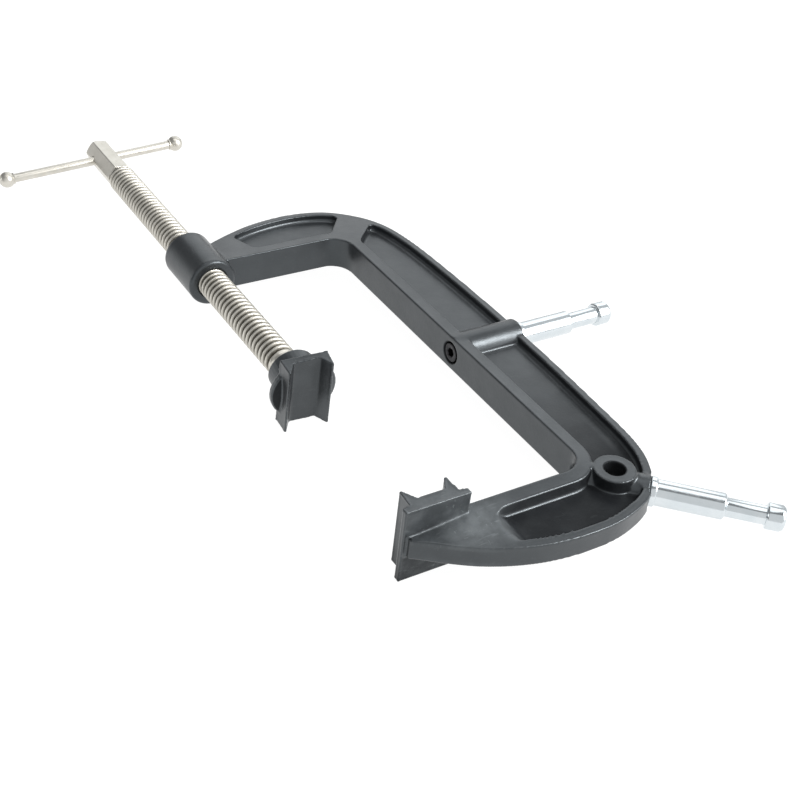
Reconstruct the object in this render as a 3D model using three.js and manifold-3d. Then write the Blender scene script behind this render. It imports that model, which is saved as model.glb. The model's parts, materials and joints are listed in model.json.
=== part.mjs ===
// C-clamp with two mounting studs and a pair of V jaws.
// Millimetres. The clamp lies flat: Y runs along the screw, X from the screw to the spine,
// Z is normal to the plane of the C. The origin is the centre of the fixed jaw's gripping floor.
import * as THREE from 'three';
import { mergeVertices } from 'three/addons/utils/BufferGeometryUtils.js';
import Module from 'manifold-3d';

const wasm = await Module();
wasm.setup();

// ---- driving dimensions: frame casting ----
const THROAT = 106;              // screw axis to the spine's inner face
const UPPER_EDGE = 285;          // inner edge of the arm that carries the screw
const LOWER_EDGE = -3;           // inner edge of the arm that carries the fixed jaw
const THROAT_CORNER_R = 15;
const INNER_HALF = 11.5;         // half the casting's thickness along its inner edge
const OUTER_HALF = 6.7;          // half its thickness along its outer rim
const TIP_HALF = 6;              // half its thickness where the lower arm ends in the jaw
const TIP_X = -16;
const TIP_FULL_X = 26;           // from here on the lower arm has its full thickness
const INNER_RAIL = 9.5;
const OUTER_RAIL = 5.5;
const WEB_HALF = 2;
const POCKET_FILLET = 1.6;
const POCKET_CORNER_R = 5;
// Outer rim of the C, from the screw boss round to the fixed jaw.
const RIM = [
  [6, 313], [33.4, 325.2], [56, 332.4], [87.1, 335.5], [114.6, 329.8], [136.3, 313.1],
  [147, 295.6], [152.8, 270.5], [156.6, 210], [157.4, 130], [155, 55], [151.2, 4],
  [144.8, -15], [130.4, -34.6], [104, -46], [77.3, -48.5], [46.5, -45], [16.1, -33.8],
  [-17.7, -11.2],
];
const RIM_STEPS = 140;

// ---- bosses and bores of the casting ----
const BOSS_R = 17;
const BOSS_Y = [277, 322];
const BOSS_CHAMFER = 1.5;
const EYE = [119.5, -12.6];      // centre of the eye in the lower corner
const EYE_R = 12.8;
const EYE_HOLE_R = 6.5;
const EYE_HALF = 10.7;
const STUD_RIB_R = 9.4;
const MID_STUD_Y = 139.6;
const MID_SEAT_X = 157.9;
const MID_BOSS_R = 11.8;
const CORNER_AXIS_ANGLE = -43.6 * Math.PI / 180;
const CORNER_SEAT = 21.5;        // eye centre to the corner stud's seat
const CORNER_RECESS = 25;        // eye centre to the mouth of the recess in the throat corner

// ---- V jaws, shared by the fixed and the moving one ----
const JAW_HALF_HEIGHT = 24.3;
const JAW_FLOOR_HALF = 7.8;
const HORN_TIP_X = 14.7;
const HORN_HEIGHT = 8.4;
const HORN_BASE_X = 15.8;
const HORN_BASE_DEPTH = 3.2;
const TIP_ROUND = 0.9;
const FIXED_WING_X = 20.6;
const FIXED_JAW_DEPTH = 8.1;

// ---- moving jaw: swivel head, all depths measured behind its gripping floor ----
const MOVING_FLOOR_Y = 141.6;
const PIVOT_DEPTH = 8;
const JAW_TILT = 7.8 * Math.PI / 180;
const JAW_TILT_HEADING = 38.4 * Math.PI / 180;
const JAW_SWIVEL = -1.7 * Math.PI / 180;
const MOVING_BACK = 4.7;
const FLANGE_R = 21.6;
const FLANGE_FRONT = -0.1;
const FLANGE_CONE_R = 14;
const HUB_R = 15.7;
const HUB_DEPTH = 23.1;
const SOCKET_R = 12.2;
const LIP_DEPTH = 17.6;
const MOUTH_R = 9.2;

// ---- screw ----
const THREAD_R = 10.5;
const THREAD_START = 167.4;
const THREAD_END = 448;
const HEAD_END = 497;
const HEAD_ACROSS_CORNERS = 21;
const HEAD_TURN = -9 * Math.PI / 180;
const NECK_R = 6.6;
const NOSE_R = 7.4;
const GROOVE_R = 5.4;
const GROOVE_DEPTH = [12.4, 14];
const GAP = 0.3;

// ---- sliding T-bar ----
const BAR_Y = 482.7;
const BAR_R = 3.3;
const BAR_ROLL = 3.6 * Math.PI / 180;
const BAR_SHIFT = -9.3;
const BALL_SPACING = 137;
const BALL_R = 6;

// ---- mounting studs and their fasteners ----
const STUD_R = 8;
const STUD_PROFILE = {
  collarR: 9, collarEnd: 4, shaftEnd: 44.1, neckR: 5.8, headStart: 67, headEnd: 75.8, tip: 78.2,
};
const BOLT_R = 4;
const BOLT_HEAD_R = 6.5;
const BOLT_HEAD_HEIGHT = 8;
const BOLT_KEY_AF = 6;
const BOLT_REACH = 13;           // bolt length inside the stud
const COUNTERBORE_R = 7.5;
const COUNTERBORE_DEPTH = 10.5;
const WASHER_T = 1.8;
const SHANK_R = 5;               // threaded shank of the corner stud
const SHANK_LENGTH = 13.5;
const SET_SCREW_R = 4;
const SET_SCREW_KEY_AF = 4;
const KEY_DEPTH = 4;             // hexagon sockets of the bolt and of the set screw
const RECESS_R = 6.5;
const RECESS_DEPTH = 4;
const RECESS_CLEARANCE = 8;      // cut in front of the recess, through the rounded throat corner
const SEAT_FACE_R = 12.4;        // the corner stud's seat is faced flat this wide
const SEAT_FACE_CUT = 8;

// ---- materials ----
const paint = () => new THREE.MeshStandardMaterial({ color: 0x24262a, roughness: 0.48, metalness: 0.1 });
const nickel = () => new THREE.MeshStandardMaterial({ color: 0xb9b6ac, roughness: 0.32, metalness: 1 });
const zinc = () => new THREE.MeshStandardMaterial({ color: 0xc3cad2, roughness: 0.22, metalness: 1 });
const blackOxide = () => new THREE.MeshStandardMaterial({ color: 0x17181a, roughness: 0.4, metalness: 0.8 });

const SMOOTH = 36;               // sides of a large round
const SMALL = 20;                // sides of a small round
const X_AXIS = new THREE.Vector3(1, 0, 0);
const Y_AXIS = new THREE.Vector3(0, 1, 0);
const Z_AXIS = new THREE.Vector3(0, 0, 1);
const OVERRUN = 1;               // how far a cutter or a joined rod reaches past its face

// ---- solids ----
function toSolid(geometry, matrix = new THREE.Matrix4()) {
  const bare = geometry.index ? geometry.toNonIndexed() : geometry.clone();
  bare.deleteAttribute('normal');
  bare.deleteAttribute('uv');
  bare.applyMatrix4(matrix);
  const merged = mergeVertices(bare, 1e-4);
  return new wasm.Manifold(new wasm.Mesh({
    numProp: 3,
    vertProperties: new Float32Array(merged.attributes.position.array),
    triVerts: new Uint32Array(merged.index.array),
  }));
}

function toMesh(name, solid, material) {
  const { vertProperties, triVerts } = solid.getMesh();
  const geometry = new THREE.BufferGeometry();
  geometry.setAttribute('position', new THREE.BufferAttribute(vertProperties, 3));
  geometry.setIndex(new THREE.BufferAttribute(triVerts, 1));
  geometry.computeVertexNormals();
  const mesh = new THREE.Mesh(geometry, material);
  mesh.name = name;
  return mesh;
}

// A solid of revolution about Y. The profile is [radius, y] from one end of the axis to the other,
// or a closed loop for a ring.
function turned(profile, sides = SMOOTH) {
  const points = profile.map(([r, y]) => new THREE.Vector2(r, y));
  return toSolid(new THREE.LatheGeometry(points, sides));
}

function rod(radius, from, to, sides = SMOOTH) {
  return turned([[0, from], [radius, from], [radius, to], [0, to]], sides);
}

function ring(innerR, outerR, from, to, sides = SMOOTH) {
  return turned([[innerR, from], [outerR, from], [outerR, to], [innerR, to], [innerR, from]], sides);
}

function hexPrism(acrossCorners, from, to) {
  const prism = new THREE.CylinderGeometry(acrossCorners / 2, acrossCorners / 2, to - from, 6);
  return toSolid(prism, new THREE.Matrix4().makeTranslation(0, (from + to) / 2, 0));
}

function block(x, y, z) {
  const size = [x, y, z].map(([low, high]) => high - low);
  const middle = [x, y, z].map(([low, high]) => (low + high) / 2);
  return toSolid(new THREE.BoxGeometry(...size), new THREE.Matrix4().makeTranslation(...middle));
}

// Turns a solid made about Y so that its axis runs from a point along a direction.
function aimed(solid, origin, direction) {
  const turn = new THREE.Quaternion().setFromUnitVectors(Y_AXIS, direction);
  const matrix = new THREE.Matrix4().compose(origin, turn, new THREE.Vector3(1, 1, 1));
  return solid.transform(matrix.toArray());
}

function extrudedXY(points, halfHeight) {
  const shape = new THREE.Shape(points.map(([x, y]) => new THREE.Vector2(x, y)));
  const options = { depth: 2 * halfHeight, bevelEnabled: false };
  const centred = new THREE.Matrix4().makeTranslation(0, 0, -halfHeight);
  return toSolid(new THREE.ExtrudeGeometry(shape, options), centred);
}

// ---- the C strip: rulings from the throat edge to the rim ----
const clamp = THREE.MathUtils.clamp;

function throatPoint(rim) {
  const inset = THROAT_CORNER_R;
  const core = new THREE.Vector2(
    Math.min(rim.x, THROAT - inset),
    clamp(rim.y, LOWER_EDGE + inset, UPPER_EDGE - inset),
  );
  return rim.clone().sub(core).setLength(inset).add(core);
}

function innerHalf(point) {
  if (point.y > 0 || point.x > TIP_FULL_X) return INNER_HALF;
  return THREE.MathUtils.mapLinear(Math.max(point.x, TIP_X), TIP_X, TIP_FULL_X, TIP_HALF, INNER_HALF);
}

function makeRulings() {
  const knots = RIM.map(([x, y]) => new THREE.Vector3(x, y, 0));
  const curve = new THREE.CatmullRomCurve3(knots, false, 'centripetal');
  return curve.getPoints(RIM_STEPS).map((p) => {
    const rim = new THREE.Vector2(p.x, p.y);
    return { rim, throat: throatPoint(rim) };
  });
}

const rulings = makeRulings();

// The tapered strip itself: a four-cornered section at each ruling.
function makeStrip() {
  const corners = [];
  for (const { rim, throat } of rulings) {
    const half = innerHalf(throat);
    corners.push([throat.x, throat.y, half], [rim.x, rim.y, OUTER_HALF]);
    corners.push([rim.x, rim.y, -OUTER_HALF], [throat.x, throat.y, -half]);
  }
  const triangles = [0, 1, 2, 0, 2, 3];
  for (let i = 0; i < rulings.length - 1; i += 1) {
    for (let side = 0; side < 4; side += 1) {
      const a = 4 * i + side;
      const b = 4 * i + (side + 1) % 4;
      triangles.push(a, a + 4, b, b, a + 4, b + 4);
    }
  }
  const last = 4 * (rulings.length - 1);
  triangles.push(last, last + 2, last + 1, last, last + 3, last + 2);
  const geometry = new THREE.BufferGeometry();
  geometry.setAttribute('position', new THREE.Float32BufferAttribute(corners.flat(), 3));
  geometry.setIndex(triangles);
  return toSolid(geometry);
}

// ---- pockets in both faces of the strip ----
function nearestRuling(key, [x, y]) {
  const target = new THREE.Vector2(x, y);
  const distances = rulings.map((ruling) => ruling[key].distanceTo(target));
  return distances.indexOf(Math.min(...distances));
}

function insetPoint(ruling, key, distance) {
  const other = key === 'rim' ? ruling.throat : ruling.rim;
  const inward = other.clone().sub(ruling[key]).setLength(distance);
  return ruling[key].clone().add(inward);
}

function insetChain(key, distance, from, to) {
  const first = nearestRuling(key, from);
  const last = nearestRuling(key, to);
  return rulings.slice(first, last + 1).map((ruling) => insetPoint(ruling, key, distance));
}

function trimmed(chain, radius) {
  const start = chain[0];
  const end = chain[chain.length - 1];
  return chain.filter((p) => p.distanceTo(start) > radius && p.distanceTo(end) > radius);
}

// A pocket between the two rails; its four corners are rounded off.
function pocketShape({ rimFrom, rimTo, throatFrom, throatTo }) {
  const outer = insetChain('rim', OUTER_RAIL, rimFrom, rimTo);
  const inner = insetChain('throat', INNER_RAIL, throatFrom, throatTo).reverse();
  const corners = [outer[0], outer[outer.length - 1], inner[0], inner[inner.length - 1]];
  const outerRun = trimmed(outer, POCKET_CORNER_R);
  const innerRun = trimmed(inner, POCKET_CORNER_R);
  const along = (a, b) => a.clone().lerp(b, Math.min(POCKET_CORNER_R / a.distanceTo(b), 0.45));
  const shape = new THREE.Shape();
  shape.moveTo(outerRun[0].x, outerRun[0].y);
  outerRun.slice(1).forEach((p) => shape.lineTo(p.x, p.y));
  roundCorner(shape, corners[1], along(corners[1], corners[2]));
  shape.lineTo(...along(corners[2], corners[1]).toArray());
  roundCorner(shape, corners[2], innerRun[0]);
  innerRun.slice(1).forEach((p) => shape.lineTo(p.x, p.y));
  roundCorner(shape, corners[3], along(corners[3], corners[0]));
  shape.lineTo(...along(corners[0], corners[3]).toArray());
  roundCorner(shape, corners[0], outerRun[0]);
  return shape;
}

function roundCorner(shape, corner, end) {
  shape.quadraticCurveTo(corner.x, corner.y, end.x, end.y);
}

function pocketCutter(spec) {
  const clearHeight = INNER_HALF + 2;
  const geometry = new THREE.ExtrudeGeometry(pocketShape(spec), {
    depth: clearHeight,
    curveSegments: 4,
    bevelEnabled: true,
    bevelThickness: POCKET_FILLET,
    bevelSize: POCKET_FILLET,
    bevelOffset: -POCKET_FILLET,
    bevelSegments: 1,
  });
  const lift = new THREE.Matrix4().makeTranslation(0, 0, WEB_HALF + POCKET_FILLET);
  const upper = toSolid(geometry, lift);
  return upper.add(upper.mirror([0, 0, 1]));
}

const CRESCENT_POCKET = {
  rimFrom: [34, 325], rimTo: [124, 324], throatFrom: [40, 285], throatTo: [96.5, 284],
};
const SPINE_POCKET = {
  rimFrom: [143, 303], rimTo: [31, -40.3], throatFrom: [105, 274], throatTo: [34.5, -3],
};

// The lower pocket's floor climbs towards the jaw, on both faces of the arm.
const RUNOUT_HALF_WIDTH = 70;
const RUNOUT = { deepX: 44, deepHalf: 1.5, shallowX: 33, shallowHalf: 8.5 };

function pocketRunout() {
  const { deepX, deepHalf, shallowX, shallowHalf } = RUNOUT;
  const climb = [
    [shallowX, -shallowHalf], [deepX, -deepHalf],
    [deepX, deepHalf], [shallowX, shallowHalf],
  ];
  return makeStrip().intersect(extrudedXY(climb, RUNOUT_HALF_WIDTH).rotate([90, 0, 0]));
}

// ---- V jaw outlines ----
// The gripping side from one horn round to the other: floor at y = 0, horns towards +y.
function gripOutline() {
  const right = [
    [JAW_FLOOR_HALF, 0], [JAW_FLOOR_HALF + 1.2, 0.6],
    [HORN_TIP_X - TIP_ROUND, HORN_HEIGHT], [HORN_TIP_X, HORN_HEIGHT - TIP_ROUND / 2],
    [HORN_BASE_X - 0.4, -HORN_BASE_DEPTH],
  ];
  const left = right.map(([x, y]) => [-x, y]).reverse();
  return [...left, ...right];
}

function fixedJaw() {
  const wing = FIXED_WING_X;
  const outline = [
    [-wing, -FIXED_JAW_DEPTH], [-wing, -HORN_BASE_DEPTH - 1.4], ...gripOutline(),
    [wing, -HORN_BASE_DEPTH - 1.4], [wing, -FIXED_JAW_DEPTH],
  ];
  return extrudedXY(outline.reverse(), JAW_HALF_HEIGHT);
}

// ---- frame ----
const cornerDirection = new THREE.Vector3(Math.cos(CORNER_AXIS_ANGLE), Math.sin(CORNER_AXIS_ANGLE), 0);
const eyeCentre = new THREE.Vector3(EYE[0], EYE[1], 0);
const alongCorner = (distance) => eyeCentre.clone().addScaledVector(cornerDirection, distance);

function chamferedRod(radius, from, to, chamfer) {
  return turned([
    [0, from], [radius - chamfer, from], [radius, from + chamfer],
    [radius, to - chamfer], [radius - chamfer, to], [0, to],
  ]);
}

const midOrigin = new THREE.Vector3(0, MID_STUD_Y, 0);
const aboutMid = (radius, from, to, sides) => aimed(rod(radius, from, to, sides), midOrigin, X_AXIS);
const aboutEye = (radius, half, sides) => aimed(rod(radius, -half, half, sides), eyeCentre, Z_AXIS);

function aboutCorner(radius, from, to, sides) {
  return aimed(rod(radius, from, to, sides), eyeCentre, cornerDirection);
}

function frameBores() {
  const headSeat = THROAT + COUNTERBORE_DEPTH;
  const shankEnd = CORNER_SEAT - SHANK_LENGTH - GAP;
  const recessFloor = -CORNER_RECESS + RECESS_DEPTH;
  return [
    rod(THREAD_R + GAP, BOSS_Y[0] - OVERRUN, BOSS_Y[1] + OVERRUN),
    aboutEye(EYE_HOLE_R, EYE_HALF + OVERRUN, SMALL),
    aboutMid(COUNTERBORE_R, THROAT - OVERRUN, headSeat, SMALL),
    aboutMid(BOLT_R + GAP, headSeat - OVERRUN, MID_SEAT_X + OVERRUN, SMALL),
    aboutCorner(SHANK_R + GAP, shankEnd, CORNER_SEAT + OVERRUN, SMALL),
    aboutCorner(SEAT_FACE_R, CORNER_SEAT, CORNER_SEAT + SEAT_FACE_CUT, SMALL),
    aboutCorner(RECESS_R, -CORNER_RECESS - RECESS_CLEARANCE, recessFloor, SMALL),
    aboutCorner(SET_SCREW_R + GAP, -CORNER_RECESS, 0, SMALL),
  ];
}

function makeFrame() {
  const casting = makeStrip()
    .subtract(pocketCutter(CRESCENT_POCKET))
    .subtract(pocketCutter(SPINE_POCKET))
    .add(pocketRunout())
    .add(chamferedRod(BOSS_R, ...BOSS_Y, BOSS_CHAMFER))
    .add(fixedJaw())
    .add(aboutEye(EYE_R, EYE_HALF))
    .add(aboutCorner(STUD_RIB_R, -CORNER_RECESS + 2 * OVERRUN, CORNER_SEAT))
    .add(aboutMid(MID_BOSS_R, THROAT + OVERRUN, MID_SEAT_X));
  const solid = frameBores().reduce((body, bore) => body.subtract(bore), casting);
  return toMesh('c_frame', solid, paint());
}

// ---- moving jaw, drawn square to the screw with its pivot at the origin, gripping towards -Y ----
const behindFloor = (depth) => depth - PIVOT_DEPTH;

function makeMovingJaw() {
  const back = [[-HORN_BASE_X, -MOVING_BACK], ...gripOutline(), [HORN_BASE_X, -MOVING_BACK]];
  const facing = back.map(([x, y]) => [x, behindFloor(-y)]);
  const vBlock = extrudedXY(facing, JAW_HALF_HEIGHT);
  const head = turned([
    [0, behindFloor(1)], [FLANGE_CONE_R, behindFloor(-2.4)], [FLANGE_R - 0.8, behindFloor(FLANGE_FRONT)],
    [FLANGE_R, behindFloor(FLANGE_FRONT + 0.8)], [FLANGE_R, behindFloor(MOVING_BACK - 1)],
    [FLANGE_R - 1, behindFloor(MOVING_BACK)], [HUB_R + 2.5, behindFloor(MOVING_BACK + 0.8)],
    [HUB_R, behindFloor(MOVING_BACK + 3.2)], [HUB_R, behindFloor(HUB_DEPTH - 2.5)],
    [HUB_R - 2.5, behindFloor(HUB_DEPTH)], [0, behindFloor(HUB_DEPTH)],
  ]);
  const channel = extrudedXY(
    [...gripOutline().slice(2, -2), [HORN_TIP_X, HORN_HEIGHT + 4], [-HORN_TIP_X, HORN_HEIGHT + 4]]
      .map(([x, y]) => [x, behindFloor(-y)]),
    JAW_HALF_HEIGHT + 1,
  );
  const socket = rod(SOCKET_R, behindFloor(PIVOT_DEPTH - 0.4), behindFloor(LIP_DEPTH));
  const mouth = rod(MOUTH_R, behindFloor(LIP_DEPTH - 1), behindFloor(HUB_DEPTH + 1));
  const solid = head.subtract(channel).add(vBlock).subtract(socket).subtract(mouth);
  return toMesh('moving_jaw', solid, paint());
}

function placedJaw() {
  const jaw = makeMovingJaw();
  const heading = new THREE.Vector3(Math.cos(JAW_TILT_HEADING), 0, -Math.sin(JAW_TILT_HEADING));
  const tilt = new THREE.Quaternion().setFromAxisAngle(heading, JAW_TILT);
  const swivel = new THREE.Quaternion().setFromAxisAngle(Y_AXIS, JAW_SWIVEL);
  jaw.quaternion.copy(tilt.multiply(swivel));
  jaw.position.set(0, MOVING_FLOOR_Y + PIVOT_DEPTH, 0);
  return jaw;
}

// ---- swivel hardware inside the hub ----
const atDepth = (depth) => MOVING_FLOOR_Y + depth;

function makeRetainingRing() {
  const [front, back] = GROOVE_DEPTH;
  const whole = ring(GROOVE_R + GAP, 8.8, atDepth(front + 0.2), atDepth(back - 0.2), SMALL);
  const split = block([-1.5, 1.5], [atDepth(front), atDepth(back)], [0, 12]);
  return toMesh('jaw_retaining_ring', whole.subtract(split), blackOxide());
}

function makeThrustWasher() {
  const solid = ring(NECK_R + 0.4, 10.6, atDepth(14.1), atDepth(15.6), SMALL);
  return toMesh('jaw_thrust_washer', solid, nickel());
}

// ---- screw ----
function makeScrew() {
  const [grooveFront, grooveBack] = GROOVE_DEPTH;
  const body = turned([
    [0, atDepth(PIVOT_DEPTH)], [3, atDepth(PIVOT_DEPTH + 0.4)], [NOSE_R, atDepth(PIVOT_DEPTH + 2.6)],
    [NOSE_R, atDepth(grooveFront)], [GROOVE_R, atDepth(grooveFront)], [GROOVE_R, atDepth(grooveBack)],
    [NECK_R, atDepth(grooveBack)], [NECK_R, THREAD_START], [THREAD_R - 1.8, THREAD_START + 0.6],
    [THREAD_R, THREAD_START + 2.4], [THREAD_R, THREAD_END - 1.5], [THREAD_R - 1.5, THREAD_END],
    [THREAD_R - 1.5, THREAD_END + 1], [0, THREAD_END + 1],
  ]);
  const headLimit = turned([
    [0, THREAD_END], [THREAD_R - 1, THREAD_END], [THREAD_R + 1, THREAD_END + 1.5],
    [THREAD_R + 1, HEAD_END - 2.5], [THREAD_R - 1.6, HEAD_END], [0, HEAD_END],
  ]);
  const hexTurn = new THREE.Matrix4().makeRotationY(Math.PI / 2 - BAR_ROLL - HEAD_TURN);
  const hex = hexPrism(HEAD_ACROSS_CORNERS, THREAD_END, HEAD_END).transform(hexTurn.toArray());
  const barHole = aimed(rod(BAR_R + GAP, -20, 20, SMALL), new THREE.Vector3(0, BAR_Y, 0), barDirection);
  return toMesh('lead_screw', body.add(hex.intersect(headLimit)).subtract(barHole), nickel());
}

// ---- T-bar and its two ball ends ----
const barDirection = new THREE.Vector3(Math.cos(BAR_ROLL), 0, Math.sin(BAR_ROLL));
const barMiddle = new THREE.Vector3(0, BAR_Y, 0).addScaledVector(barDirection, BAR_SHIFT);

function makeTBar() {
  const reach = BALL_SPACING / 2;
  const bar = aimed(chamferedRod(BAR_R, -reach, reach, 0.5), barMiddle, barDirection);
  return toMesh('t_bar', bar, nickel());
}

function makeBall(name, side) {
  const centre = barMiddle.clone().addScaledVector(barDirection, side * BALL_SPACING / 2);
  const inward = barDirection.clone().multiplyScalar(-side);
  const ball = toSolid(new THREE.SphereGeometry(BALL_R, 20, 12));
  const socket = rod(BAR_R + GAP, -GAP, BALL_R + 1, SMALL);
  return toMesh(name, aimed(ball.subtract(socket), centre, inward), nickel());
}

// ---- studs ----
function studProfile() {
  const p = STUD_PROFILE;
  return [
    [0, 0], [p.collarR - 0.5, 0], [p.collarR, 0.5], [p.collarR, p.collarEnd - 0.6],
    [p.collarR - 0.6, p.collarEnd], [STUD_R, p.collarEnd],
    [STUD_R, p.shaftEnd - 1.2], [STUD_R - 1.2, p.shaftEnd], [p.neckR, p.shaftEnd],
    [p.neckR, p.headStart], [STUD_R - 0.8, p.headStart], [STUD_R, p.headStart + 0.8],
    [STUD_R, p.headEnd], [STUD_R - 0.9, p.headEnd + 1.6], [STUD_R - 2.6, p.tip], [0, p.tip],
  ];
}

function makeMidStud() {
  const origin = midOrigin.clone().setX(MID_SEAT_X + GAP);
  const boltHole = rod(BOLT_R + GAP, -1, BOLT_REACH + 1, SMALL);
  return toMesh('mid_stud', aimed(turned(studProfile()).subtract(boltHole), origin, X_AXIS), zinc());
}

function makeCornerStud() {
  const shank = chamferedRod(SHANK_R, -SHANK_LENGTH, 1, 0.7);
  const solid = turned(studProfile()).add(shank);
  return toMesh('corner_stud', aimed(solid, alongCorner(CORNER_SEAT + GAP), cornerDirection), zinc());
}

// ---- fasteners ----
function keySocket(acrossFlats, mouth) {
  return hexPrism(acrossFlats * 2 / Math.sqrt(3), mouth - OVERRUN, mouth + KEY_DEPTH);
}

function makeMidBolt() {
  const headSeat = THROAT + COUNTERBORE_DEPTH - WASHER_T - 2 * GAP;
  const headTop = headSeat - BOLT_HEAD_HEIGHT;
  const head = chamferedRod(BOLT_HEAD_R, headTop, headSeat, 0.6);
  const shank = rod(BOLT_R, headSeat - 1, MID_SEAT_X + GAP + BOLT_REACH, SMALL);
  const solid = head.add(shank).subtract(keySocket(BOLT_KEY_AF, headTop));
  return toMesh('mid_stud_bolt', aimed(solid, midOrigin, X_AXIS), blackOxide());
}

function makeMidWasher() {
  const seat = THROAT + COUNTERBORE_DEPTH - GAP;
  const whole = ring(BOLT_R + GAP, BOLT_HEAD_R, seat - WASHER_T, seat, SMALL);
  const split = block([2, 8], [seat - WASHER_T - 1, seat + 1], [-0.6, 0.6]);
  const solid = aimed(whole.subtract(split), midOrigin, X_AXIS);
  return toMesh('mid_stud_lock_washer', solid, blackOxide());
}

function makeSetScrew() {
  const outerEnd = -CORNER_RECESS + RECESS_DEPTH + 1;
  const solid = chamferedRod(SET_SCREW_R, outerEnd, -EYE_HOLE_R - 0.6, 0.6)
    .subtract(keySocket(SET_SCREW_KEY_AF, outerEnd));
  return toMesh('eye_set_screw', aimed(solid, eyeCentre, cornerDirection), blackOxide());
}

// ---- assembly ----
const clampAssembly = new THREE.Group();
clampAssembly.add(
  makeFrame(), makeMidStud(), makeMidBolt(), makeMidWasher(), makeCornerStud(), makeSetScrew(),
  makeScrew(), makeTBar(), makeBall('t_bar_ball_left', -1), makeBall('t_bar_ball_right', 1),
  placedJaw(), makeRetainingRing(), makeThrustWasher(),
);

export default clampAssembly;
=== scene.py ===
import json
import math

import bmesh
import bpy
import numpy as np
from mathutils import Matrix, Vector


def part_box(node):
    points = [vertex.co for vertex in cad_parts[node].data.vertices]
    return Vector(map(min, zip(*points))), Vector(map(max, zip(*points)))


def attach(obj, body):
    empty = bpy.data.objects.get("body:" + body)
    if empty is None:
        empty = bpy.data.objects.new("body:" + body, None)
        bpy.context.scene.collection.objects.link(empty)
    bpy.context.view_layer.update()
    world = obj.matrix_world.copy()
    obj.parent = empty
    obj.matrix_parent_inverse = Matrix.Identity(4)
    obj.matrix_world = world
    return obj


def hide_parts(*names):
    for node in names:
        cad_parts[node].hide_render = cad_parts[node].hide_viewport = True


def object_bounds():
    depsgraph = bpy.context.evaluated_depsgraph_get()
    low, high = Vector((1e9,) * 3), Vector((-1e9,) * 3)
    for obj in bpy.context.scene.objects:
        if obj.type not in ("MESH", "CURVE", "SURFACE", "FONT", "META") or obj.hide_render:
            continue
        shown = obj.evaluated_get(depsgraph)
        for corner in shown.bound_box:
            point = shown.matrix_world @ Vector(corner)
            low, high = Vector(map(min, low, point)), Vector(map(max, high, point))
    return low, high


# A C clamp with two mounting studs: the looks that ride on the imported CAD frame. Metres.
# Y runs along the screw, X from the screw to the spine, Z is normal to the plane of the C.
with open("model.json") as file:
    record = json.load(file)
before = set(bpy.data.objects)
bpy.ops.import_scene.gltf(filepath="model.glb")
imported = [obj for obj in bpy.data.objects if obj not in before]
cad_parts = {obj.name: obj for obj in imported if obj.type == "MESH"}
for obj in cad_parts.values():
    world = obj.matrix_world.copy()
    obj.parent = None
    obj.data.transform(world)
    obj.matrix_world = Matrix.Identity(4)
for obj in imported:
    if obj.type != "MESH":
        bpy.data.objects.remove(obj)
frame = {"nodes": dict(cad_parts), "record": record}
cad_low, cad_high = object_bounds()
nodes = frame["nodes"]
mounts = {m["name"]: m for m in frame["record"]["mounts"]}
MM = 0.001

# ---- driving sizes ----
CAST_VOXEL = 0.56 * MM
JAW_VOXEL = 0.36 * MM
HEAD_VOXEL = 0.34 * MM
THREAD_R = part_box("lead_screw")[1].z
PITCH = 4.6 * MM
THREAD_DEPTH = 2.1 * MM
HEAD_LENGTH = 49 * MM            # from the thread's end to the screw's end
STUD_R = 8 * MM
BAR_R = 3.3 * MM
ROUND = 96                       # sides of a large turned piece
CORNER_SWELL = 0.35 * MM         # push outwards where the bend is SWELL_BEND, at most doubled
NO_WEIGHT = 0.004                # points with no more weight than this stay still
FIRST_PASSES = 3
BLEND_PASSES = 240
POLISH_PASSES = 50
LAST_PASSES = 2
NORMALS_EVERY = 6                # passes between two looks at the normals while hollows fill
SWELL_BEND = 500                 # bends are in 1/m
FLAT_BEND, CURVED_BEND = 70, 150     # facets are smoothed below the first, kept above the second
EDGE_BENDS = (160, 700)          # where the paint's edge attribute starts and is full
HOLLOW_BENDS = (60, 420)         # the same for its hollow attribute


# ---- mesh helpers ----
def new_object(name, mesh, matrix=None):
    ob = bpy.data.objects.new(name, mesh)
    bpy.context.scene.collection.objects.link(ob)
    if matrix is not None:
        ob.matrix_world = matrix
    return ob


def mesh_from(name, vertices, faces, sharp_degrees=32):
    mesh = bpy.data.meshes.new(name)
    mesh.from_pydata([tuple(v) for v in vertices], [], faces)
    mesh.validate()
    shade(mesh, sharp_degrees)
    return mesh


def shade(mesh, sharp_degrees):
    mesh.polygons.foreach_set("use_smooth", [True] * len(mesh.polygons))
    mesh.set_sharp_from_angle(angle=math.radians(sharp_degrees))
    mesh.update()


def axis_matrix(origin, direction, side=Vector((0, 0, 1))):
    """Local Z runs along the direction, local X as near to side as it can."""
    z = Vector(direction).normalized()
    y = z.cross(side).normalized()
    x = y.cross(z)
    turn = Matrix((x, y, z)).transposed().to_4x4()
    return Matrix.Translation(origin) @ turn


def filleted(points, steps=4):
    """A profile of (radius, height, corner radius) as a smooth run of (radius, height)."""
    out = []
    for i, (r, s, fillet) in enumerate(points):
        if fillet <= 0 or i in (0, len(points) - 1):
            out.append((r, s))
            continue
        here = Vector((r, s))
        before = Vector(points[i - 1][:2]) - here
        after = Vector(points[i + 1][:2]) - here
        reach = min(fillet, 0.45 * before.length, 0.45 * after.length)
        start = here + before.normalized() * reach
        end = here + after.normalized() * reach
        for k in range(steps + 1):
            t = k / steps
            p = start * (1 - t) ** 2 + here * 2 * t * (1 - t) + end * t * t
            out.append((p.x, p.y))
    return out


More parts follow.
